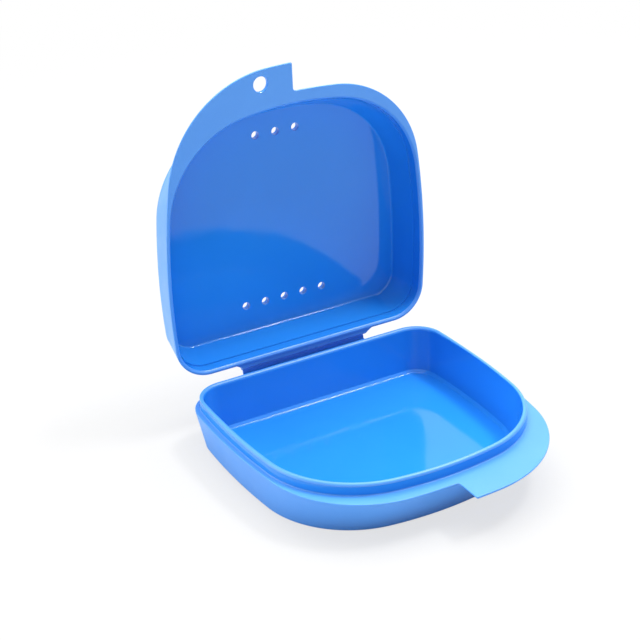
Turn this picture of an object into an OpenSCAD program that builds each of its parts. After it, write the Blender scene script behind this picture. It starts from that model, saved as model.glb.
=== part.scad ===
// Orthodontic retainer case: a shallow D-shaped tray and a matching vented lid of
// moulded polypropylene, joined along the rear edge by a living hinge.
// Millimetres. X runs across the case, -Y is the front, +Z is up. The origin is the
// centre of the tray's underside. The lid is drawn standing open.

/* [Outline] */
// Width of the rim where the case is widest
case_w = 80; // [74:0.5:92]
// Depth of the rim from front to rear, without tabs and hinge
case_d = 75; // [70:0.5:86]
// How far behind the middle the case is widest
widest_y = 13.5; // [8:0.5:16]
// Radius of the long curve of each side
side_r = 200; // [170:5:260]
// Radius of the front shoulders of the rim
shoulder_r = 28; // [25:0.5:30]
// Radius of the front edge of the rim
front_r = 150; // [120:5:200]
// Radius of the rear corners of the rim
rear_r = 10; // [8:0.5:12]

/* [Tray] */
// Height of the ledge that the lid closes on
base_h = 12; // [10:0.5:18]
// Thickness of the floor
floor_t = 1.4; // [1.2:0.1:2]
// Thickness of the wall at the foot
wall_t = 1.5; // [1.2:0.1:2]
// Width of the ledge at the sides and rear
ledge_side = 1.4; // [1.3:0.1:1.8]
// Width of the ledge in the middle of the front
ledge_front = 3.8; // [3:0.1:4.5]
// Radius of the front shoulders of the lip
mouth_shoulder_r = 27.5; // [24:0.5:29]
// Radius of the front curve of the lip
mouth_front_r = 88; // [70:2:120]
// Height of the lip above the ledge
lip_h = 3.3; // [2.6:0.1:4]
// Thickness of the lip
lip_t = 1.2; // [1:0.1:1.5]
// Radius of the lip's outer top edge
lip_r = 0.4; // [0.2:0.1:0.5]
// Radius of the fillet around the floor
floor_r = 0.8; // [0.8:0.1:2]
// Radius of the rounded lower edge
foot_r = 1; // [0.6:0.1:1.4]
// How far the underside draws in at the sides and rear from below the lip
foot_in = 0.7; // [0.4:0.1:1.2]
// How far the underside draws in at the front from below the lip
foot_front = 2.8; // [2:0.1:3.4]

/* [Lid] */
// Height of the lid from its rim to its top face
lid_h = 13.4; // [11:0.2:18]
// Thickness of the top panel
panel_t = 1.6; // [1.2:0.1:2.2]
// Thickness of the wall next to the top panel
lid_wall_t = 1.2; // [1:0.1:1.6]
// Radius of the rounded upper edge
crown_r = 2.2; // [1.6:0.1:2.8]
// Radius of the fillet inside the top panel
panel_r = 0.8; // [0.8:0.1:1.6]
// Play between the lid's skirt and the tray's lip
fit_gap = 0.25; // [0.2:0.05:0.35]
// Step from the rabbet that takes the lip to the lid's inner wall
rabbet_step = 0.4; // [0.3:0.1:0.8]
// Lead-in chamfer around the mouth of the rabbet
lead_in = 0.5; // [0.4:0.1:0.7]
// Gap at the seam when the lid is shut
seam_gap = 0.1; // [0.05:0.05:0.2]
// Height of the plain raised panel on the lid
plaque_h = 0.8; // [0.5:0.1:1.2]
// Margin between the raised panel and the lid's upper edge
plaque_in = 4.5; // [3.5:0.5:8]

/* [Tabs] */
// Reach of the pull tabs beyond the rim
tab_reach = 7.7; // [6:0.1:9]
// Thickness of the tabs
tab_t = 1.2; // [1:0.1:1.5]
// Width of the bevel on the hidden face of the tabs
tab_bevel = 0.8; // [0.5:0.1:1]
// Height of the upright edge left around the rim and the tabs
rim_land = 0.4; // [0.3:0.1:0.6]
// Radius of the shoulder of each tab
tab_shoulder_r = 32; // [31:0.5:33]
// Radius of the front edge of each tab
tab_front_r = 120; // [100:5:160]
// How far the tabs start inside the rim at the sides
tab_side_in = 0.3; // [0.2:0.1:0.5]
// Radius in the corner where a tab's straight edge meets the rim
tab_root_r = 0.8; // [0.5:0.1:1.5]
// Diameter of the hang hole
hang_d = 4.2; // [3.5:0.1:5]
// Distance of the hang hole from the middle of the case
hang_x = 9.4; // [7:0.1:12]

/* [Vents] */
// Diameter of the vent holes
vent_d = 2.2; // [1.8:0.1:3]
// Spacing of the vent holes
vent_pitch = 6.1; // [5:0.1:7]
// Holes in the front row
vents_front = 3; // [1:2:5]
// Holes in the rear row
vents_rear = 5; // [3:2:7]
// Distance of the front row from the front rim
vent_front_in = 14.2; // [13:0.1:18]
// Distance of the rear row from the rear rim
vent_rear_in = 11.3; // [9:0.1:15]

/* [Hinge] */
// Width of the hinge at the fold
hinge_w = 39.4; // [32:0.2:44]
// Extra width of the lid's flap on each side at its root
flap_flare = 1.8; // [0.5:0.1:2]
// Distance of the fold behind the rear rim
fold_y = 3; // [2.6:0.1:3.6]
// Height of the fold above the ledge
fold_z = 1.5; // [1.3:0.1:1.8]
// Thickness of the curl and the flap
leaf_t = 1.3; // [1:0.1:1.5]
// Radius of the bent web
web_r = 0.5; // [0.35:0.05:0.6]
// Drop of the curl's upper face below the ledge
curl_drop = 0.2; // [0.1:0.05:0.4]
// Play between the web and the turning flap
web_play = 0.08; // [0.04:0.01:0.1]
// Opening angle of the lid as drawn, 0 is shut and 180 lies flat
open_angle = 90; // [0:1:180]

/* [Snap] */
// Height of the snap ridge on the front of the lip
ridge_h = 0.3; // [0.25:0.05:0.4]
// Length of the snap ridge along the front
ridge_len = 22; // [14:1:30]
// Height of the snap ridge's middle above the ledge
ridge_z = 1.6; // [1.4:0.1:1.8]
// Play around the ridge in the lid's groove
ridge_play = 0.15; // [0.1:0.05:0.2]

/* [Hidden] */
$fn = 48;
// Thin slices that carry an outline into a hull, and overlap where pieces of one moulding join
slice = 0.01;
bite = 1;
// Steps of a quarter-round edge, and segments of each arc of half an outline
edge_steps = 4;
front_n = 3;
shoulder_n = 18;
side_n = 6;
rear_n = 11;
// Half width and front and rear reach of the rim
rim_x = case_w / 2;
rim_y = case_d / 2;
// Outlines as [half width, side radius, shoulder radius, front radius,
//              front reach, rear reach, corner radius]
rim_o = [rim_x, side_r, shoulder_r, front_r, rim_y, rim_y, rear_r];
mouth_o = [rim_x - ledge_side, side_r - ledge_side, mouth_shoulder_r, mouth_front_r,
           rim_y - ledge_front, rim_y - ledge_side, rear_r - ledge_side];
foot_o = [mouth_o[0] - foot_in, mouth_o[1] - foot_in, mouth_o[2] - foot_in, mouth_o[3] - foot_in,
          mouth_o[4] - foot_front, mouth_o[5] - foot_in, mouth_o[6] - foot_in];
tab_o = [rim_x - tab_side_in, side_r, tab_shoulder_r, tab_front_r, rim_y + tab_reach, rim_y, rear_r];
// Reach of the rabbet that takes the lip, above the lid's rim
rabbet_h = lip_h + fit_gap;
// Skin left between the flap's root and the rabbet
skirt_skin = 0.2;
// The hang hole sits midway between the rim's edge and the tab's edge
hang_y = (front_y(rim_o, hang_x) + front_y(tab_o, hang_x)) / 2;
// Fold axis of the living hinge
axis_y = rim_y + fold_y;
axis_z = base_h + fold_z;

// Front edge of outline o at a distance x from the middle
function front_y(o, x) = o[3] - o[4] - sqrt(o[3] * o[3] - x * x);
// Points of an arc about c, without its last point
function arc(c, r, a0, a1, n) =
    [for (i = [0:n - 1]) let (a = a0 + (a1 - a0) * i / n) c + r * [cos(a), sin(a)]];
// Angle of the direction from p to q
function heading(p, q) = atan2(q[1] - p[1], q[0] - p[0]);
// Centre of the shoulder arc that touches the side arc and the front arc from inside
function shoulder_c(cs, cf, ps, pf) =
    let (d = cf - cs, l = norm(d), a = (ps * ps - pf * pf + l * l) / (2 * l), e = d / l)
    cs + a * e - sqrt(ps * ps - a * a) * [-e[1], e[0]];
// Right half of outline o grown by g, from the middle of the front to the rear corner
function half(o, g) =
    let (cs = [o[0] - o[1], widest_y], cf = [0, o[3] - o[4]],
         cc = shoulder_c(cs, cf, o[1] - o[2], o[3] - o[2]),
         ry = o[5] - o[6],
         cr = [cs[0] + sqrt(pow(o[1] - o[6], 2) - pow(ry - widest_y, 2)), ry],
         af = heading(cf, cc), as = heading(cs, cc), ar = heading(cs, cr))
    concat(arc(cf, o[3] + g, -90, af, front_n), arc(cc, o[2] + g, af, as, shoulder_n),
           arc(cs, o[1] + g, as, ar, side_n), arc(cr, o[6] + g, ar, 90, rear_n),
           [[cr[0], o[5] + g]]);
// Whole outline o grown by g
function outline(o, g) =
    let (h = half(o, g), n = len(h))
    concat(h, [for (i = [n - 1:-1:1]) [-h[i][0], h[i][1]]]);

// Plate of outline o grown by g, from height z up by t
module plate(o, g, z, t) {
    translate([0, 0, z]) linear_extrude(t) polygon(outline(o, g));
}

// Quarter-round edge of outline o: grows smaller by r while the height goes from z to z + dir * r
module round_edge(o, g, z, r, dir) {
    for (i = [0:edge_steps]) {
        a = 90 * i / edge_steps;
        plate(o, g - r * (1 - cos(a)), z + dir * r * sin(a) - (dir > 0 ? slice : 0), slice);
    }
}

// Wall from the rim's edge to the smaller outline at the far end, at height h and rounded by r
module shell_form(h, r) {
    hull() {
        plate(rim_o, 0, 0, rim_land);
        round_edge(foot_o, 0, h - r, r, 1);
    }
}

// Hollow from the mouth outline grown by g at height z to the foot outline less t at height h,
// with a fillet r
module shell_hollow(g, z, t, h, r) {
    hull() {
        plate(mouth_o, g, z, slice);
        round_edge(foot_o, -t, h - r, r, 1);
    }
}

// Half of the tab outline on the +X side, drawn in by g
module tab_half(g) {
    intersection() {
        polygon(outline(tab_o, -g));
        translate([g, -2 * rim_y]) square([2 * rim_x, 2 * rim_y]);
    }
}

// Pull tab on the +X half, bevelled above, with a fillet where its straight edge meets the rim
module pull_tab() {
    hull() {
        linear_extrude(rim_land) tab_half(0);
        linear_extrude(tab_t) tab_half(tab_bevel);
    }
    translate([0, -rim_y]) linear_extrude(rim_land) difference() {
        translate([-tab_root_r, -tab_root_r]) square([tab_root_r + bite, tab_root_r + bite]);
        translate([-tab_root_r, -tab_root_r]) circle(tab_root_r);
    }
}

// Snap ridge along the front of the lip, grown by g
module snap_ridge(g) {
    intersection() {
        hull() {
            plate(mouth_o, -lip_t / 2, base_h + ridge_z - 2 * ridge_h - g, 4 * ridge_h + 2 * g);
            plate(mouth_o, ridge_h + g, base_h + ridge_z - slice / 2, slice);
        }
        translate([-ridge_len / 2 - g, -rim_y, base_h]) cube([ridge_len + 2 * g, rim_y / 2, lip_h]);
    }
}

// Long bar of a Y-Z profile, of width w across the case
module across(w) {
    rotate([90, 0, 90]) linear_extrude(w, center = true) children();
}

// Round bar on the fold axis
module fold_bar(r, w) {
    translate([0, axis_y, axis_z]) rotate([0, 90, 0]) cylinder(r = r, h = w, center = true);
}

// Curl behind the tray: leaves the rear wall below the ledge and turns up to the fold
module hinge_curl() {
    bend_z = fold_y - leaf_t - curl_drop;
    translate([0, rim_y, base_h]) across(hinge_w) {
        intersection() {
            union() {
                difference() {
                    translate([0, bend_z]) circle(fold_y);
                    translate([0, bend_z]) circle(fold_y - leaf_t);
                    translate([0, bend_z]) square(2 * fold_y);
                }
                translate([fold_y - leaf_t, bend_z - slice]) square([leaf_t, 2 * fold_y]);
            }
            translate([0, fold_z - 2 * fold_y]) square(2 * fold_y);
        }
        translate([-bite, -leaf_t - curl_drop]) square([bite + slice, leaf_t]);
    }
}

// Flap behind the lid: reaches from the skirt to the fold and flares at its root
module hinge_flap() {
    root_y = rim_y - ledge_side + fit_gap + skirt_skin;
    intersection() {
        translate([0, 0, axis_z]) linear_extrude(2 * leaf_t)
            polygon([[-hinge_w / 2 - flap_flare, root_y], [hinge_w / 2 + flap_flare, root_y],
                     [hinge_w / 2 + flap_flare, rim_y], [hinge_w / 2, axis_y],
                     [-hinge_w / 2, axis_y], [-hinge_w / 2 - flap_flare, rim_y]]);
        translate([0, axis_y, axis_z]) across(hinge_w + 4 * flap_flare)
            polygon([[-fold_y - bite, web_play], [-web_play, web_play], [-web_play, leaf_t / 2],
                     [-leaf_t / 2, leaf_t], [-fold_y - bite, leaf_t]]);
    }
}

// Row of n vent holes at y
module vent_row(n, y) {
    for (i = [0:n - 1])
        translate([(i - (n - 1) / 2) * vent_pitch, y, lid_h - 2 * panel_t])
            cylinder(d = vent_d, h = 3 * panel_t + plaque_h);
}

// Lid with its rim at height 0
module lid_form() {
    difference() {
        union() {
            shell_form(lid_h, crown_r);
            hull() round_edge(foot_o, -plaque_in, lid_h, plaque_h, 1);
            mirror([1, 0, 0]) pull_tab();
        }
        plate(mouth_o, fit_gap, -bite, bite + rabbet_h);
        hull() {
            plate(mouth_o, fit_gap + lead_in + bite, -bite, slice);
            plate(mouth_o, fit_gap, lead_in, slice);
        }
        shell_hollow(fit_gap - rabbet_step, rabbet_h - slice, lid_wall_t, lid_h - panel_t, panel_r);
        vent_row(vents_front, vent_front_in - rim_y);
        vent_row(vents_rear, rim_y - vent_rear_in);
        translate([-hang_x, hang_y, -bite]) cylinder(d = hang_d, h = tab_t + 2 * bite);
    }
}

// Lid shut on the tray, with its flap on the fold
module lid_shut() {
    difference() {
        union() {
            translate([0, 0, base_h + seam_gap]) lid_form();
            hinge_flap();
        }
        snap_ridge(ridge_play);
        fold_bar(web_r + web_play, hinge_w + 4 * flap_flare);
    }
}

// Lower half of the case
module base_tray() {
    color("DodgerBlue") difference() {
        union() {
            translate([0, 0, base_h]) mirror([0, 0, 1]) shell_form(base_h, foot_r);
            hull() {
                plate(mouth_o, 0, base_h - bite, bite);
                round_edge(mouth_o, 0, base_h + lip_h - lip_r, lip_r, 1);
            }
            translate([0, 0, base_h]) mirror([0, 0, 1]) pull_tab();
            snap_ridge(0);
            hinge_curl();
        }
        translate([0, 0, base_h]) mirror([0, 0, 1])
            shell_hollow(-lip_t, -lip_h - bite, wall_t, base_h - floor_t, floor_r);
        fold_bar(web_r, hinge_w + bite);
    }
}

// Upper half of the case, standing open about the fold
module lid_shell() {
    color("CornflowerBlue") translate([0, axis_y, axis_z]) rotate([-open_angle, 0, 0])
        translate([0, -axis_y, -axis_z]) lid_shut();
}

// Thin web of the living hinge in its bent shape
module hinge_web() {
    color("LightSkyBlue") fold_bar(web_r, hinge_w);
}

base_tray();
lid_shell();
hinge_web();
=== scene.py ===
import math

import bmesh
import bpy
from mathutils import Matrix, Vector


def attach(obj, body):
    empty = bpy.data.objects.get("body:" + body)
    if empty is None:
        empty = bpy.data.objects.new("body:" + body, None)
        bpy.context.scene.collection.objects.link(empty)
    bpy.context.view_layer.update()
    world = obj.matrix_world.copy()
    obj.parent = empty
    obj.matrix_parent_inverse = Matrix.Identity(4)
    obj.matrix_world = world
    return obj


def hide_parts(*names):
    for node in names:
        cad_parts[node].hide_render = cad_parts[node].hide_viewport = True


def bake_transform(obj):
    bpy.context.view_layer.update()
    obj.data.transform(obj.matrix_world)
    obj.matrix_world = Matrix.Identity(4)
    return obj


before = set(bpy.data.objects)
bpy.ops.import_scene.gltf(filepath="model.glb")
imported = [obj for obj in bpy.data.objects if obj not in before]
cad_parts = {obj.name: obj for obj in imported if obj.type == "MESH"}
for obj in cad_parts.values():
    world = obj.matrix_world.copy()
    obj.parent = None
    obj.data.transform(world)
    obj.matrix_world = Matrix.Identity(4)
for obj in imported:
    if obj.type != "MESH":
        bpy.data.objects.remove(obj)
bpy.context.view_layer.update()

MM = 0.001

# Sizes of the case in millimetres. Both halves are drawn from the face of the rim that they meet on.
RIM_HALF_W = 40.0
RIM_FRONT = 37.5
RIM_REAR = 37.5
WIDEST_Y = 13.5
SIDE_R = 200.0
REAR_R = 10.0
RIM_SHOULDER_R = 28.0
RIM_FRONT_R = 150.0
LEDGE_SIDE = 1.4
LEDGE_FRONT = 3.8
MOUTH_SHOULDER_R = 27.5
MOUTH_FRONT_R = 88.0
FOOT_SIDE = 0.7
FOOT_FRONT = 2.8
RIM_LAND = 0.4
EDGE_R = 0.15
# Distance from a rounded edge at which a face is quite flat again
FLAT = 0.1

# Tray
BASE_H = 12.0
FLOOR_T = 1.4
FLOOR_BEVEL = 0.8
FOOT_R = 1.0
WALL_T = 1.5
LIP_H = 3.3
LIP_T = 1.2
LIP_FRONT_R = 0.75
LIP_REAR_R = 1.0
LIP_LAND = 0.05
# Length over which the lip's edges change from those at the sides to those at the rear
LIP_CHANGE = 20.0
# Small hollow at the foot of the lip: distances from the lip's face and heights above the ledge
LIP_HOLLOW = ((0.25, 0.0), (0.15, 0.02), (0.07, 0.07), (0.02, 0.15), (0.0, 0.25))

# Lid
LID_H = 13.4
PANEL_T = 1.6
PANEL_R = 0.6
CROWN_R = 2.2
LID_WALL_T = 1.2
FIT_GAP = 0.25
SEAM_GAP = 0.1
RABBET_H = LIP_H + FIT_GAP
RABBET_STEP = 0.4
# Lead-in of the skirt: distances from the rabbet's wall and heights above the rim's face
LEAD_IN = ((0.6, 0.0), (0.5, 0.05), (0.04, 0.5), (0.0, 0.6))
PLAQUE_H = 0.8
PLAQUE_IN = 4.5
VENT_R = 1.1
VENT_PITCH = 6.1
VENT_CHAMFER = 0.5
VENT_ROWS = ((3, -23.3), (5, 26.2))

# Tabs
TAB_REACH = 7.7
TAB_T = 1.2
TAB_BEVEL = 0.8
TAB_ROOT_R = 0.8
TAB_TIP_R = 0.4
TAB_SHOULDER_R = 32.0
TAB_FRONT_R = 120.0
# A tab's underside starts where the tab stands this far clear of the wall, and is full after the second length
TAB_CLEAR = 0.2
TAB_FADE = 1.2
HANG_R = 2.1
HANG_AT = (-9.4, -41.02)
HANG_CHAMFER = 0.1

# Hinge
HINGE_HALF_W = 19.7
FOLD_Y = 3.0
FOLD_Z = 1.5
AXIS_Y = RIM_REAR + FOLD_Y
AXIS_Z = BASE_H + FOLD_Z
LEAF_T = 1.3
CURL_T = 0.9
CURL_DROP = 0.2
# Depths in the walls at which the curl, the flap and the flap's flare start
CURL_ROOT = 1.0
FLAP_ROOT = 0.9
FLARE_ROOT = 0.1
FLAP_FLARE = 2.8
# The flap stands back from the rim's face by FLAP_SET, and rolls away between these distances behind the rim
FLAP_SET = 0.2
ROLL_FROM = 1.1
ROLL_TO = 1.95
# The ends of the curl and the flap are rounded over END_R, lean to the fold by END_LEAN and thin by END_THIN
END_R = 0.15
END_LEAN = 0.1
END_THIN = 0.4
WEB_PLAY = 0.08
WEB_GAP = 0.35
WEB_T = 0.35
# The web reaches into both ends, where it leans, hooks, swells and turns by these amounts.
WEB_REACH = 0.85
WEB_LEAN = 0.12
WEB_HOOK = 0.2
WEB_SWELL = 0.3
WEB_TURN = 20.0

# Finishes: the wells come from polished steel, and the outside, rims and tabs from a spark-eroded one, whose paler
# blue is painted light for these brighter, exposed faces. The flap and the web have been worked by use; their still
# paler blue is partly whitening by use and partly painted light on the shaded hinge.
POLISHED, SATIN_PAINTED_LIGHT, FLEXED_PAINTED_LIGHT = 0, 1, 2

# Steps of a quarter-round edge
EDGE_STEPS = 7
RIM_EDGE_STEPS = 3
PLAQUE_STEPS = 6
# Rows of an inner wall, as shares of the way from its mouth to its corner
WALL_SHARES = (0, 0.5, 0.97)
# Edges that turn by more than this many degrees stay crisp
CREASE = 40


def direction(degrees):
    return Vector((math.cos(math.radians(degrees)), math.sin(math.radians(degrees))))


def heading(start, end):
    return math.degrees(math.atan2(end.y - start.y, end.x - start.x))


def steps(first, last, step):
    """Even values from first up to, and without, last."""
    count = round((last - first) / step)
    return [first + (last - first) * i / count for i in range(count)]


def quarter(count):
    """Angles in radians of a quarter turn, both ends included."""
    return [math.radians(90 * i / count) for i in range(count + 1)]


class Outline:
    """D-shaped outline of tangent arcs. A point on it is found by the way the edge faces there:
    -90 degrees is the middle of the front, 0 is the right side and 90 is the rear."""

    def __init__(self, half_w, side_r, shoulder_r, front_r, front, rear, corner_r):
        side = Vector((half_w - side_r, WIDEST_Y))
        nose = Vector((0, front_r - front))
        reach = nose - side
        inner, outer = side_r - shoulder_r, front_r - shoulder_r
        along = (inner * inner - outer * outer + reach.length_squared) / (2 * reach.length)
        way = reach.normalized()
        across = Vector((-way.y, way.x))
        shoulder = side + along * way - math.sqrt(inner * inner - along * along) * across
        corner_y = rear - corner_r
        corner_x = side.x + math.sqrt((side_r - corner_r) ** 2 - (corner_y - WIDEST_Y) ** 2)
        corner = Vector((corner_x, corner_y))
        # Each arc: the facing that it ends at, its centre and its radius
        self.arcs = ((heading(nose, shoulder), nose, front_r),
                     (heading(side, shoulder), shoulder, shoulder_r),
                     (heading(side, corner), side, side_r),
                     (90, corner, corner_r))

    def point(self, facing, grow=0.0):
        for last, centre, radius in self.arcs:
            if facing <= last:
                break
        return centre + (radius + grow) * direction(facing)


RIM = Outline(RIM_HALF_W, SIDE_R, RIM_SHOULDER_R, RIM_FRONT_R, RIM_FRONT, RIM_REAR, REAR_R)
TAB = Outline(RIM_HALF_W, SIDE_R, TAB_SHOULDER_R, TAB_FRONT_R, RIM_FRONT + TAB_REACH, RIM_REAR, REAR_R)
MOUTH = Outline(RIM_HALF_W - LEDGE_SIDE, SIDE_R - LEDGE_SIDE, MOUTH_SHOULDER_R, MOUTH_FRONT_R,
                RIM_FRONT - LEDGE_FRONT, RIM_REAR - LEDGE_SIDE, REAR_R - LEDGE_SIDE)
FOOT_IN = LEDGE_SIDE + FOOT_SIDE
FOOT = Outline(RIM_HALF_W - FOOT_IN, SIDE_R - FOOT_IN, MOUTH_SHOULDER_R - FOOT_SIDE, MOUTH_FRONT_R - FOOT_SIDE,
               RIM_FRONT - LEDGE_FRONT - FOOT_FRONT, RIM_REAR - FOOT_IN, REAR_R - FOOT_IN)

# Ways that the edge faces at the points of half an outline, closer where the arcs are long
FACINGS = steps(-89, -76, 1) + steps(-76, -8, 2) + steps(-8, 6, 0.7) + steps(6, 90, 3) + [90]
REAR_STEPS = 16
# Stations of the tab's notch: the fillet at its root, its straight edge and its outer corner. On an outline without
# the tab they lie close together in the middle of the front, at about these places from the left to the right.
NOTCH_STEPS = 5
NOTCH_X = [-0.8, -0.31, 0.14, 0.49, 0.56] + steps(0.6, 1.1, 0.05)
NOTCH_R = 145
NOTCH_FACINGS = [math.degrees(math.asin(x / NOTCH_R)) - 90 for x in NOTCH_X]
# How far the underside of the tab reaches from the wall to the tab's bevel at the fillet's stations
ROOT_SHARES = [0.0, 0.0, 0.0, 0.0, 1.0]


def ring(outline, grow=0.0):
    """Closed loop of outline points, with the stations of the tab's notch in the middle of the front."""
    right = [outline.point(facing, grow) for facing in FACINGS]
    end = right[-1]
    rear = [Vector((end.x * (1 - 2 * i / REAR_STEPS), end.y)) for i in range(1, REAR_STEPS)]
    left = [Vector((-p.x, p.y)) for p in reversed(right)]
    return right + rear + left + [outline.point(facing, grow) for facing in NOTCH_FACINGS]


def tab_ring(grow=0.0):
    """The same stations with the tab on the right half and its notch in the middle of the front."""
    right = [TAB.point(facing, grow) for facing in FACINGS]
    rest = ring(RIM, grow)[len(right):-len(NOTCH_FACINGS)]
    inside = Vector((-TAB_ROOT_R, -RIM_FRONT - TAB_ROOT_R))
    tip = max(TAB_TIP_R, -grow)
    corner = Vector((tip, tip - RIM_FRONT - TAB_REACH))
    root, edge, nose = [], [], []
    for i in range(NOTCH_STEPS):
        root.append(inside + (TAB_ROOT_R - grow) * direction(90 - 90 * i / NOTCH_STEPS))
        edge.append(Vector((-grow, inside.y + (corner.y - inside.y) * i / (NOTCH_STEPS - 1))))
        nose.append(corner + (tip + grow) * direction(180 + 90 * (i + 1) / NOTCH_STEPS))
    return right + rest + root + edge + nose


def between(a, b, share):
    return [p.lerp(q, share) for p, q in zip(a, b)]


def smooth(value):
    value = min(max(value, 0.0), 1.0)
    return value * value * (3 - 2 * value)


def outer_rows(height, edge_r):
    """Rows from the flat far end, over its rounded edge, down the wall and round the tab to the rim's face."""
    rim, foot = ring(RIM), ring(FOOT)
    top = height - edge_r
    # The outside takes the spark-eroded finish, whose paler blue is painted light
    rows = [(ring(FOOT, -edge_r - FLAT), height, SATIN_PAINTED_LIGHT)]
    for angle in reversed(quarter(EDGE_STEPS)):
        rows.append((ring(FOOT, -edge_r * (1 - math.cos(angle))), height - edge_r * (1 - math.sin(angle)), SATIN_PAINTED_LIGHT))
    for z in (top - 2 * FLAT, 0.5 * top, TAB_T + FLAT, TAB_T):
        rows.append((between(rim, foot, (z - RIM_LAND) / (top - RIM_LAND)), z, SATIN_PAINTED_LIGHT))
    # Underside of the tab, drawn in by its bevel where the tab stands clear of the wall
    bevel, root = tab_ring(-TAB_BEVEL), rows[-1][0]
    clear = []
    for facing, p in zip(FACINGS, root):
        clear.append(smooth(((TAB.point(facing) - p) @ direction(facing) - TAB_CLEAR) / TAB_FADE))
    clear += [0.0] * (len(root) - len(clear) - len(NOTCH_FACINGS))
    clear += ROOT_SHARES + [1.0] * (2 * NOTCH_STEPS)
    rows.append(([p.lerp(q, share) for p, q, share in zip(root, bevel, clear)], TAB_T, SATIN_PAINTED_LIGHT))
    rows.append((tab_ring(), RIM_LAND, SATIN_PAINTED_LIGHT))
    for angle in quarter(RIM_EDGE_STEPS):
        rows.append((tab_ring(-EDGE_R * (1 - math.cos(angle))), EDGE_R * (1 - math.sin(angle)), SATIN_PAINTED_LIGHT))
    return rows + [(tab_ring(-EDGE_R - FLAT), 0, SATIN_PAINTED_LIGHT)]


def tray_rows():
    """Rows of the tray with the rim's face at height 0 and the underside at BASE_H above it, so upside down."""
    rows = outer_rows(BASE_H, FOOT_R)
    hollow_r = LIP_HOLLOW[-1][1]
    rows.append((ring(MOUTH, hollow_r + FLAT), 0, SATIN_PAINTED_LIGHT))
    rows += [(ring(MOUTH, out), -rise, SATIN_PAINTED_LIGHT) for out, rise in LIP_HOLLOW]
    outer, inner = ring(MOUTH), ring(MOUTH, -LIP_T)
    rows += [(outer, -hollow_r - FLAT), (outer, LIP_FRONT_R + FLAT - LIP_H)]
    # Rounded edges of the lip: the outer one is the larger at the front and sides, the inner one along the rear
    both_r = LIP_T - LIP_LAND
    side_r = both_r - LIP_FRONT_R
    inner_r = [side_r + (LIP_REAR_R - side_r) * smooth((p.y - WIDEST_Y) / LIP_CHANGE) for p in outer]
    outer_r = [both_r - r for r in inner_r]
    for angle in quarter(EDGE_STEPS):
        loop = [p.lerp(q, r * (1 - math.cos(angle)) / LIP_T) for p, q, r in zip(outer, inner, outer_r)]
        rows.append((loop, [r * (1 - math.sin(angle)) - LIP_H for r in outer_r], SATIN_PAINTED_LIGHT))
    for angle in quarter(EDGE_STEPS):
        loop = [p.lerp(q, 1 - r * (1 - math.sin(angle)) / LIP_T) for p, q, r in zip(outer, inner, inner_r)]
        # The top of the lip takes the spark-eroded finish, whose paler blue paints the bright line along the lip's top
        finish = SATIN_PAINTED_LIGHT if angle < math.radians(45) else POLISHED
        rows.append((loop, [r * (1 - math.cos(angle)) - LIP_H for r in inner_r], finish))
    corner = bevelled_corner(FLOOR_BEVEL)
    return rows + well_rows(inner, LIP_REAR_R + FLAT - LIP_H, WALL_T, BASE_H - FLOOR_T, corner)


def bevelled_corner(size):
    """Steps in from the wall and up from the face around a well: a bevel between two small hollows, each of which
    catches its own line of light."""
    hollow_r, count = 0.35, 5
    reach = hollow_r * math.tan(math.radians(22.5))
    upper = []
    for i in range(count + 1):
        angle = math.radians(45 * i / count)
        upper.append((hollow_r * (1 - math.cos(angle)), size + reach - hollow_r * math.sin(angle)))
    return upper + [(rise, inset) for inset, rise in reversed(upper)]


def rounded_corner(r):
    """The same steps for a plain hollow."""
    return [(r * (1 - math.cos(angle)), r * (1 - math.sin(angle))) for angle in quarter(EDGE_STEPS)]


def well_rows(mouth, mouth_z, wall_t, depth, corner):
    """Rows of an inner wall from the mouth, round the corner to a flat face at the given depth."""
    end, end_z = ring(FOOT, -wall_t), depth - corner[0][1]
    rows = [(between(mouth, end, share), mouth_z + (end_z - mouth_z) * share) for share in WALL_SHARES]
    rows += [(ring(FOOT, -wall_t - inset), depth - rise) for inset, rise in corner]
    return rows + [(ring(FOOT, -wall_t - corner[-1][0] - FLAT), depth)]


def lid_rows():
    """Rows of the lid with the rim's face at height 0: the raised panel, the outside, the lead-in, the rabbet that
    takes the tray's lip, and the well."""
    rows = [(ring(FOOT, -PLAQUE_IN - PLAQUE_H - FLAT), LID_H + PLAQUE_H, SATIN_PAINTED_LIGHT)]
    for angle in quarter(PLAQUE_STEPS):
        inset = PLAQUE_IN + PLAQUE_H * (1 - math.sin(angle))
        rows.append((ring(FOOT, -inset), LID_H + PLAQUE_H * math.cos(angle), SATIN_PAINTED_LIGHT))
    rows += outer_rows(LID_H, CROWN_R)
    flare, straight = LEAD_IN[0][0], LEAD_IN[-1][1]
    rows.append((ring(MOUTH, FIT_GAP + flare + FLAT), 0, SATIN_PAINTED_LIGHT))
    rows += [(ring(MOUTH, FIT_GAP + out), z, SATIN_PAINTED_LIGHT) for out, z in LEAD_IN[:-1]]
    for out, z in (LEAD_IN[-1], (0, straight + FLAT), (0, RABBET_H), (-RABBET_STEP, RABBET_H)):
        rows.append((ring(MOUTH, FIT_GAP + out), z))
    corner = rounded_corner(PANEL_R)
    return rows + well_rows(rows[-1][0], RABBET_H + FLAT, LID_WALL_T, LID_H - PANEL_T, corner)


def new_object(name, bm):
    same_point = 0.0002 * MM
    bmesh.ops.remove_doubles(bm, verts=bm.verts, dist=same_point)
    bmesh.ops.dissolve_degenerate(bm, edges=bm.edges, dist=same_point)
    bmesh.ops.recalc_face_normals(bm, faces=bm.faces)
    mesh = bpy.data.meshes.new(name)
    bm.to_mesh(mesh)
    bm.free()
    obj = bpy.data.objects.new(name, mesh)
    bpy.context.scene.collection.objects.link(obj)
    return obj


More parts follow.
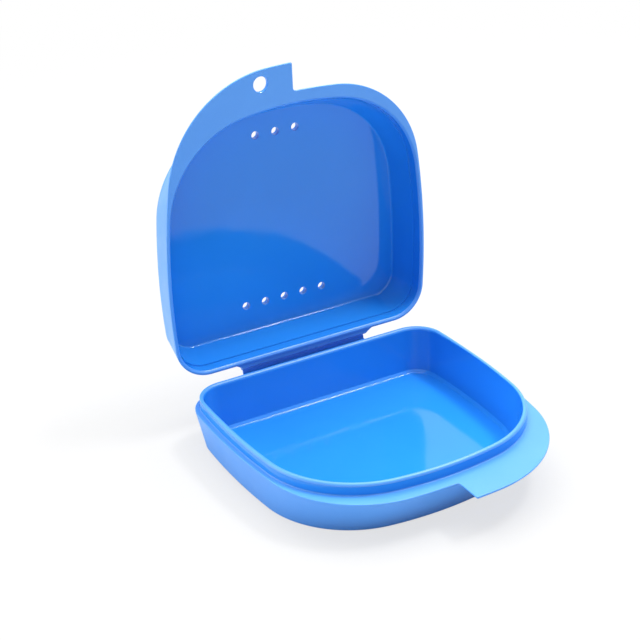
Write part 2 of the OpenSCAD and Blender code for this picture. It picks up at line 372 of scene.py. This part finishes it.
def skin(bm, loops, place=Matrix(), finishes=None):
    """Closed surface through loops of points in millimetres, with a flat face at each end."""
    finishes = finishes or [POLISHED] * len(loops)
    rows = [[bm.verts.new(place @ (Vector(p) * MM)) for p in loop] for loop in loops]
    for a, b, finish in zip(rows, rows[1:], finishes):
        for i in range(len(a)):
            bm.faces.new((a[i - 1], a[i], b[i], b[i - 1])).material_index = finish
    bm.faces.new(rows[0]).material_index = finishes[0]
    bm.faces.new(rows[-1]).material_index = finishes[-1]


def shell(name, rows, place):
    """Moulded shell through rows: an outline loop, its height or heights and, where it isn't polished, the finish from
    there on."""
    bm = bmesh.new()
    finishes = [row[2] if len(row) > 2 else POLISHED for row in rows]
    loops = []
    for loop, z, *_ in rows:
        heights = z if isinstance(z, list) else [z] * len(loop)
        loops.append([(p.x, p.y, h) for p, h in zip(loop, heights)])
    skin(bm, loops, place, finishes)
    return new_object(name, bm)


def strap(name, path, finish, place=Matrix()):
    """Flat strap across the case: each step of the path gives y, z, half width, thickness and the way it runs."""
    soft_share, soft_most = 0.25, 0.3
    bm = bmesh.new()
    loops = []
    for y, z, half_w, thick, way in path:
        side = direction(way + 90) * thick / 2
        soft = min(soft_share * thick, soft_most)
        loop = []
        for s, t in ((1, 1), (-1, 1), (-1, -1), (1, -1)):
            corner = [(s * half_w, y + t * side.x * 0.5, z + t * side.y * 0.5),
                      (s * (half_w - soft), y + t * side.x, z + t * side.y)]
            loop += corner if s * t > 0 else corner[::-1]
        loops.append(loop)
    skin(bm, loops, place, [finish] * len(loops))
    return new_object(name, bm)


def combine(obj, tool, operation):
    """Joins or cuts obj with tool and drops the tool."""
    change = obj.modifiers.new(operation, "BOOLEAN")
    change.operation, change.object, change.solver = operation, tool, "EXACT"
    bpy.context.view_layer.update()
    mesh = bpy.data.meshes.new_from_object(obj.evaluated_get(bpy.context.evaluated_depsgraph_get()))
    obj.modifiers.clear()
    obj.data = mesh
    bpy.data.objects.remove(tool)


def finish_surface(obj, *materials):
    """Smooth shading with crisp corners, so the small rounded edges catch the light."""
    for material in materials:
        obj.data.materials.append(material)
    obj.data.shade_smooth()
    obj.data.set_sharp_from_angle(angle=math.radians(CREASE))


def drill(bm, x, y, r, low, high, far_chamfer, place):
    """Round cutter from low to high with a small chamfer at its near mouth and the given one at its far mouth."""
    past, near_chamfer, count = 0.3, 0.1, 40
    angles = [2 * math.pi * i / count for i in range(count)]
    profile = ((low - past, r + near_chamfer + past), (low + near_chamfer, r),
               (high - far_chamfer, r), (high + past, r + far_chamfer + past))
    loops = []
    for z, radius in profile:
        loops.append([(x + radius * math.cos(angle), y + radius * math.sin(angle), z) for angle in angles])
    skin(bm, loops, place)


def curl_path():
    """Curl behind the tray: out of the rear wall below the ledge and up to the fold."""
    underside = BASE_H - CURL_DROP - LEAF_T
    low = underside + CURL_T / 2
    path = [(y, low, HINGE_HALF_W, CURL_T, 0) for y in (RIM_REAR - CURL_ROOT, RIM_REAR)]
    for angle in steps(-78.75, -11.25, 11.25):
        at = direction(angle) * (FOLD_Y - CURL_T / 2)
        path.append((RIM_REAR + at.x, underside + FOLD_Y + at.y, HINGE_HALF_W, CURL_T, angle + 90))
    upright, end = AXIS_Y - CURL_T / 2, AXIS_Z - WEB_GAP
    path.append((upright, end - END_R, HINGE_HALF_W, CURL_T, 90))
    path.append((upright + END_LEAN, end, HINGE_HALF_W - END_LEAN, CURL_T - END_THIN, 90))
    return path


def flap_path():
    """Flap behind the lid with the lid shut: nearly level with the rim's face at its flared root, then rolled away
    over the curl and thin at the fold."""
    top, thin, face = AXIS_Z + LEAF_T, AXIS_Z + WEB_PLAY, BASE_H + SEAM_GAP + FLAP_SET
    root, end = RIM_REAR - FLARE_ROOT, AXIS_Y - WEB_GAP
    full = end - END_R
    under = [(RIM_REAR - FLAP_ROOT, face)]
    under += [(root + (ROLL_FROM + FLARE_ROOT) * i / 4, face) for i in range(5)]
    for angle in range(15, 91, 15):
        turn = direction(angle)
        under.append((RIM_REAR + ROLL_FROM + (ROLL_TO - ROLL_FROM) * turn.y, thin - (thin - face) * turn.x))
    path = []
    for y, z in under + [(full, thin)]:
        share = max((y - root) / (full - root), 0)
        path.append((y, (top + z) / 2, HINGE_HALF_W + FLAP_FLARE * (1 - share) ** 2, top - z, 0))
    path.append((end, (top + thin) / 2 - END_LEAN, HINGE_HALF_W - END_R, top - thin - END_THIN, 0))
    return path


def web_path():
    """Thin web at the fold, from inside the curl's end to inside the flap's end, as it stands with the lid open."""
    half = 8
    path = []
    for i in range(-half, half + 1):
        share = i / half
        lean = WEB_LEAN * share + WEB_HOOK * share ** 3
        thick = WEB_T * (1 + WEB_SWELL * share * share)
        way = 90 - WEB_TURN * share * share
        path.append((AXIS_Y + lean, AXIS_Z + WEB_REACH * share, HINGE_HALF_W - END_LEAN, thick, way))
    return path


# Placing: the tray's rows are turned over, the lid's are mirrored, shut and then turned open about the fold
turned_over = Matrix.Translation((0, 0, BASE_H * MM)) @ Matrix.Diagonal((1, 1, -1, 1))
fold = Vector((0, AXIS_Y, AXIS_Z)) * MM
opened = Matrix.Translation(fold) @ Matrix.Rotation(math.radians(-90), 4, "X") @ Matrix.Translation(-fold)
shut = Matrix.Translation((0, 0, (BASE_H + SEAM_GAP) * MM))
mirrored = Matrix.Diagonal((-1, 1, 1, 1))


def build_tray():
    tray = shell("tray_moulding", tray_rows(), turned_over)
    combine(tray, strap("hinge_curl", curl_path(), POLISHED), "UNION")
    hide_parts("base_tray")
    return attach(tray, "tray")


def build_lid():
    lid = shell("lid_moulding", lid_rows(), opened @ shut @ mirrored)
    # The flap's paler blue is partly whitening by use and partly painted light on its shaded face
    combine(lid, strap("hinge_flap", flap_path(), FLEXED_PAINTED_LIGHT, opened), "UNION")
    holes = bmesh.new()
    for count, y in VENT_ROWS:
        for i in range(count):
            x = (i - (count - 1) / 2) * VENT_PITCH
            drill(holes, x, y, VENT_R, LID_H - PANEL_T, LID_H + PLAQUE_H, VENT_CHAMFER, opened @ shut)
    drill(holes, *HANG_AT, HANG_R, 0, TAB_T, HANG_CHAMFER, opened @ shut)
    combine(lid, new_object("hole_cutters", holes), "DIFFERENCE")
    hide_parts("lid_shell")
    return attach(lid, "lid")


def build_web():
    # The web's paler blue is partly whitening by use and partly a painted highlight, the bright line at the fold
    web = strap("hinge_web_moulding", web_path(), FLEXED_PAINTED_LIGHT)
    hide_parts("hinge_web")
    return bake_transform(web)


def linear(colour):
    """Linear RGBA of an sRGB hex colour."""
    parts = [int(colour[i:i + 2], 16) / 255 for i in (1, 3, 5)]
    return [c / 12.92 if c <= 0.04045 else ((c + 0.055) / 1.055) ** 2.4 for c in parts] + [1.0]


def add(tree, kind, inputs=(), **settings):
    """Adds a node, sets it and links or sets its inputs."""
    node = tree.nodes.new(kind)
    for name, value in settings.items():
        setattr(node, name, value)
    for socket, value in dict(inputs).items():
        if isinstance(value, bpy.types.NodeSocket):
            tree.links.new(value, node.inputs[socket])
        else:
            node.inputs[socket].default_value = value
    return node


def per_mm(size):
    """Texture scale whose features are about size millimetres across."""
    return 1 / (size * MM)


def moulded_polypropylene(name, deep, pale, rough, grain_size, grain_depth):
    """Injection-moulded polypropylene. Its pigment drifts a little along the flow, so the blue is never quite flat.
    The gloss varies within the two given roughnesses, as handling leaves it. Broad sink marks bend the reflections,
    and the mould's own grain breaks up the highlights."""
    ior, flow_size, handling_size, sink_size, sink_depth = 1.49, 28, 9, 22, 0.12
    material = bpy.data.materials.new(name)
    material.use_nodes = True
    tree = material.node_tree
    shader = tree.nodes["Principled BSDF"]
    shader.inputs["IOR"].default_value = ior
    place = add(tree, "ShaderNodeTexCoord").outputs["Object"]
    flow = add(tree, "ShaderNodeTexNoise",
               {"Vector": place, "Scale": per_mm(flow_size), "Detail": 3.0, "Distortion": 0.6})
    colour = add(tree, "ShaderNodeMix", {"Factor": flow.outputs["Fac"], "A": linear(deep), "B": linear(pale)},
                 data_type="RGBA")
    tree.links.new(colour.outputs[2], shader.inputs["Base Color"])
    handling = add(tree, "ShaderNodeTexNoise", {"Vector": place, "Scale": per_mm(handling_size), "Detail": 4.0})
    gloss = add(tree, "ShaderNodeMapRange", {"Value": handling.outputs["Fac"], "From Min": 0.3, "From Max": 0.7,
                                             "To Min": rough[0], "To Max": rough[1]})
    tree.links.new(gloss.outputs["Result"], shader.inputs["Roughness"])
    sink = add(tree, "ShaderNodeTexNoise", {"Vector": place, "Scale": per_mm(sink_size), "Detail": 2.5})
    grain = add(tree, "ShaderNodeTexNoise", {"Vector": place, "Scale": per_mm(grain_size), "Detail": 2.0})
    broad = add(tree, "ShaderNodeBump",
                {"Height": sink.outputs["Fac"], "Strength": 1.0, "Distance": sink_depth * MM})
    fine = add(tree, "ShaderNodeBump", {"Height": grain.outputs["Fac"], "Strength": 1.0,
                                        "Distance": grain_depth * MM, "Normal": broad.outputs["Normal"]})
    tree.links.new(fine.outputs["Normal"], shader.inputs["Normal"])
    return material


def white_paper(name, seen_shadow, mirrored_shadow):
    """Seamless white studio paper. The eye sees plain white, with a share of the real light and shadow near the
    object. Reflections show a larger share, so the walls look grounded. The light that it throws back is a pale
    grey sheet's."""
    shadow_full, shadow_gone, fibre_size = 0.15, 0.5, 2
    material = bpy.data.materials.new(name)
    material.use_nodes = True
    tree = material.node_tree
    tree.nodes.clear()
    place = add(tree, "ShaderNodeTexCoord").outputs["Object"]
    fibre = add(tree, "ShaderNodeTexNoise", {"Vector": place, "Scale": per_mm(fibre_size), "Detail": 3.0})
    tone = add(tree, "ShaderNodeMix",
               {"Factor": fibre.outputs["Fac"], "A": linear("#BABABA"), "B": linear("#C0C0C0")}, data_type="RGBA")
    lit = add(tree, "ShaderNodeBsdfDiffuse", {"Color": tone.outputs[2]})
    glow = add(tree, "ShaderNodeEmission", {"Color": (1, 1, 1, 1), "Strength": 1.0})
    path = add(tree, "ShaderNodeLightPath")
    near_share = add(tree, "ShaderNodeMapRange", {"Value": path.outputs["Is Glossy Ray"], "To Min": seen_shadow,
                                                  "To Max": mirrored_shadow})
    away = add(tree, "ShaderNodeVectorMath", {0: place}, operation="LENGTH")
    share = add(tree, "ShaderNodeMapRange",
                {"Value": away.outputs["Value"], "From Min": shadow_full, "From Max": shadow_gone,
                 "To Min": near_share.outputs["Result"], "To Max": 0.0}, interpolation_type="SMOOTHSTEP")
    shown = add(tree, "ShaderNodeMixShader", {0: share.outputs["Result"], 1: glow.outputs[0], 2: lit.outputs[0]})
    bounce = add(tree, "ShaderNodeBsdfDiffuse", {"Color": linear("#E0E0E0")})
    both = add(tree, "ShaderNodeMixShader", {0: seen_by_eye(tree), 1: bounce.outputs[0], 2: shown.outputs[0]})
    add(tree, "ShaderNodeOutputMaterial", {"Surface": both.outputs[0]})
    return material


def seen_by_eye(tree):
    """1 for rays that show the background, straight, mirrored or through glass, and 0 for the light that it gives."""
    path = add(tree, "ShaderNodeLightPath")
    seen = add(tree, "ShaderNodeMath", {0: path.outputs["Is Camera Ray"], 1: path.outputs["Is Glossy Ray"]},
               operation="MAXIMUM")
    return add(tree, "ShaderNodeMath", {0: seen.outputs[0], 1: path.outputs["Is Transmission Ray"]},
               operation="MAXIMUM").outputs[0]


def build_stage():
    half_w, thick, below = 3000, 20.0, 0.02
    light_given, white_shown = 0.35, 1.0
    sheet = [Vector((x * half_w, y * half_w)) for x, y in ((-1, -1), (1, -1), (1, 1), (-1, 1))]
    floor = shell("floor", [(sheet, -thick), (sheet, -below)], Matrix())
    floor.data.materials.append(white_paper("white paper", seen_shadow=0.3, mirrored_shadow=0.8))
    world = bpy.data.worlds.new("studio")
    world.use_nodes = True
    tree = world.node_tree
    level = add(tree, "ShaderNodeMapRange",
                {"Value": seen_by_eye(tree), "To Min": light_given, "To Max": white_shown})
    back = tree.nodes["Background"]
    back.inputs["Color"].default_value = (1, 1, 1, 1)
    tree.links.new(level.outputs["Result"], back.inputs["Strength"])
    bpy.context.scene.world = world


def softbox(name, at, aim, size, power):
    """Rectangular lamp at a place and aimed at a point, in metres and watts."""
    lamp = bpy.data.lights.new(name, "AREA")
    lamp.shape, lamp.size, lamp.size_y, lamp.energy = "RECTANGLE", size[0], size[1], power
    obj = bpy.data.objects.new(name, lamp)
    obj.location = Vector(at)
    obj.rotation_euler = (Vector(aim) - Vector(at)).to_track_quat("-Z", "Y").to_euler()
    bpy.context.scene.collection.objects.link(obj)


def build_camera():
    """Camera at the photograph's viewing angle. It aims past the middle of the ledge by the two offsets."""
    azimuth, elevation, roll = (math.radians(a) for a in (-28.29, 26.17, -2.57))
    distance, offset_right, offset_up = 388.85 * MM, -14.28 * MM, 26.55 * MM
    image_px, focal_px, sensor = 640, 1474.2, 36.0
    level = math.cos(elevation)
    back = Vector((math.sin(azimuth) * level, -math.cos(azimuth) * level, math.sin(elevation)))
    right = Vector((math.cos(azimuth), math.sin(azimuth), 0))
    up = back.cross(right)
    at = Vector((0, 0, BASE_H * MM)) + back * distance + right * offset_right + up * offset_up
    x_axis = right * math.cos(roll) + up * math.sin(roll)
    y_axis = up * math.cos(roll) - right * math.sin(roll)
    lens = bpy.data.cameras.new("camera")
    lens.sensor_width, lens.lens, lens.clip_start = sensor, sensor * focal_px / image_px, 0.01
    camera = bpy.data.objects.new("camera", lens)
    camera.matrix_world = Matrix.Translation(at) @ Matrix((x_axis, y_axis, back)).transposed().to_4x4()
    bpy.context.scene.collection.objects.link(camera)
    bpy.context.scene.camera = camera


# Wells, the lip's face and the curl, from hand-polished steel: a wet gloss over a deep blue, with a faint orange peel
# about 1 mm across
polished = moulded_polypropylene("polished moulded polypropylene", "#2183DC", "#298BE4", (0.06, 0.1), 1.1, 0.003)
# Outside, rims and tabs, from spark-eroded steel: a soft sheen, and a paler blue that is painted light for these
# exposed faces. The real grain is about 0.05 mm across, too fine to show, so it is drawn at 0.3 mm.
satin_painted_light = moulded_polypropylene("spark-eroded polypropylene painted lighter", "#458DDF", "#5197E6", (0.34, 0.44), 0.3, 0.025)
# Flap and web of the hinge, worked by use: whitened a little, and between the other two in gloss. Their paler blue is
# partly that whitening and partly painted light, which lifts the shaded flap and paints the bright line at the fold.
flexed_painted_light = moulded_polypropylene("hinge polypropylene painted lighter", "#5499E8", "#60A2EE", (0.2, 0.3), 0.8, 0.006)
for piece in (build_tray(), build_lid(), build_web()):
    finish_surface(piece, polished, satin_painted_light, flexed_painted_light)
build_stage()
softbox("top softbox", (0.1, 0.2, 0.78), (0, 0, 0.02), (1.0, 0.9), 12.0)
softbox("left softbox", (-0.8, 0.36, 0.3), (0, 0, 0.05), (0.6, 0.5), 4.2)
softbox("front fill", (-0.35, -0.95, 0.55), (0, 0, 0.05), (0.6, 0.6), 0.75)
softbox("strip lamp", (0.34, -0.1, 0.72), (0, 0, 0.02), (0.22, 0.12), 3.5)
build_camera()
bpy.context.scene.view_settings.view_transform = "Standard"
